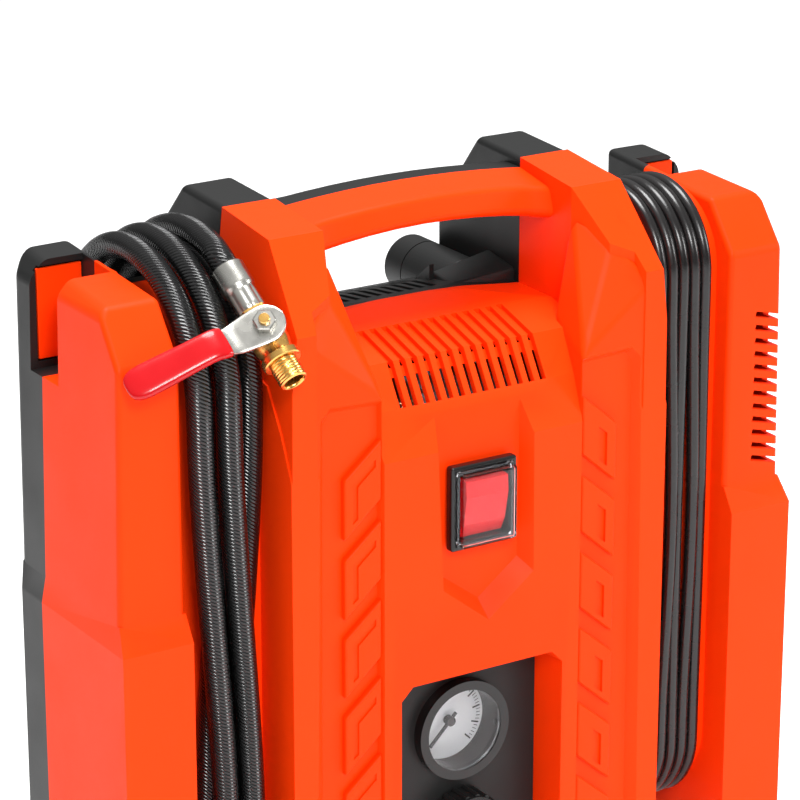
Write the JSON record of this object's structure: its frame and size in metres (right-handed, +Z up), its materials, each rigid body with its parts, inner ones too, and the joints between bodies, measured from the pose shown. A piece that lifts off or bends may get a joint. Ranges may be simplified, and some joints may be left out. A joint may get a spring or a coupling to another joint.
{
  "type": "air compressor",
  "caption": "Portable case-type oil-free air compressor with a carry handle, hose and mains cord wound in side channels, ball valve, gauge, regulator and rocker switch.",
  "frame": {"origin": "centre of the case's base, on the surface it stands on", "axes": "+Z up, -Y the front with the switch and gauge, +X the side with the mains cord"},
  "size_m": [0.371, 0.1701, 0.369],
  "materials": {
    "orange_plastic": "fine-textured moulded plastic",
    "black_plastic": "fine-textured moulded plastic",
    "gloss_black": "smooth",
    "clear_plastic": "clear",
    "red_plastic": "smooth",
    "white_card": "printed dial",
    "brass": "machined",
    "plated_steel": "bright plated",
    "dark_steel": "laminated",
    "cast_aluminium": "die cast",
    "copper": "enamelled or bare copper",
    "rubber": "moulded",
    "hose_pvc": "ribbed, glossy",
    "foam": "open-cell foam"
  },
  "bodies": {
    "case": {"front_shell": "orange_plastic", "rear_shell": "black_plastic", "control_panel": "black_plastic", "gauge_case": "gloss_black", "gauge_dial": "white_card", "gauge_lens": "clear_plastic", "regulator_body": "brass", "switch_housing": "gloss_black", "switch_cover": "clear_plastic", "hose_fitting": "brass", "hose_winding": "hose_pvc", "hose_ferrule": "plated_steel", "valve_body": "brass", "cord_winding": "rubber", "cord_lead": "rubber", "cord_relief": "rubber", "mains_plug": "rubber", "plug_pins": "brass", "rubber_feet": "rubber", "shell_screws": "plated_steel", "motor_stator": "dark_steel", "field_windings": "copper", "brush_holders": "gloss_black", "motor_bearings": "plated_steel", "fan_bracket": "cast_aluminium", "crank_bracket": "cast_aluminium", "bracket_rods": "plated_steel", "pump_cylinder": "cast_aluminium", "valve_plate": "plated_steel", "cylinder_head": "cast_aluminium", "head_screws": "plated_steel", "air_pipe": "copper", "outlet_pipe": "copper", "safety_valve": "brass", "motor_mounts": "rubber", "intake_pipe": "rubber", "intake_cap": "black_plastic", "filter_foam": "foam"},
    "rotor": {"motor_rotor": "dark_steel", "commutator": "copper", "motor_shaft": "plated_steel", "cooling_fan": "black_plastic", "crank_disc": "dark_steel"},
    "rod": {"connecting_rod": "cast_aluminium"},
    "piston": {"pump_piston": "cast_aluminium", "piston_ring": "rubber"},
    "rocker": {"switch_rocker": "red_plastic"},
    "needle": {"gauge_needle": "gloss_black"},
    "knob": {"regulator_knob": "black_plastic"},
    "valve": {"valve_ball": "plated_steel", "lever_nut": "plated_steel", "valve_lever": "plated_steel", "lever_grip": "red_plastic"}
  },
  "joints": [
    {"name": "switch_rock", "type": "hinge", "parent": "case", "child": "rocker", "pos_m": [0, -0.066, 0.228], "axis": [1, 0, 0], "range_deg": [-22, 0]},
    {"name": "valve_turn", "type": "hinge", "parent": "case", "child": "valve", "pos_m": [-0.11158, -0.06816, 0.32708], "axis": [-0.4253, -0.6034, 0.6746], "range_deg": [0, 90]},
    {"name": "regulator_turn", "type": "hinge", "parent": "case", "child": "knob", "pos_m": [0, -0.052, 0.06], "axis": [0, 1, 0], "range_deg": [0, 720]},
    {"name": "needle_turn", "type": "hinge", "parent": "case", "child": "needle", "pos_m": [0, -0.044, 0.108], "axis": [0, 1, 0], "range_deg": [0, 270], "stiffness_Nm_per_rad": 0.0005},
    {"name": "shaft_spin", "type": "hinge", "parent": "case", "child": "rotor", "pos_m": [0, 0.008, 0.15], "axis": [1, 0, 0], "continuous": true},
    {"name": "rod_swing", "type": "hinge", "parent": "rotor", "child": "rod", "pos_m": [0.05, 0.008, 0.157], "axis": [1, 0, 0], "continuous": true},
    {"name": "piston_slide", "type": "slide", "parent": "case", "child": "piston", "axis": [0, 0, 1], "range_m": [-0.014, 0]}
  ],
  "couplings": [
    {"joint": "rod_swing", "follows": "shaft_spin", "ratio": -1}
  ]
}
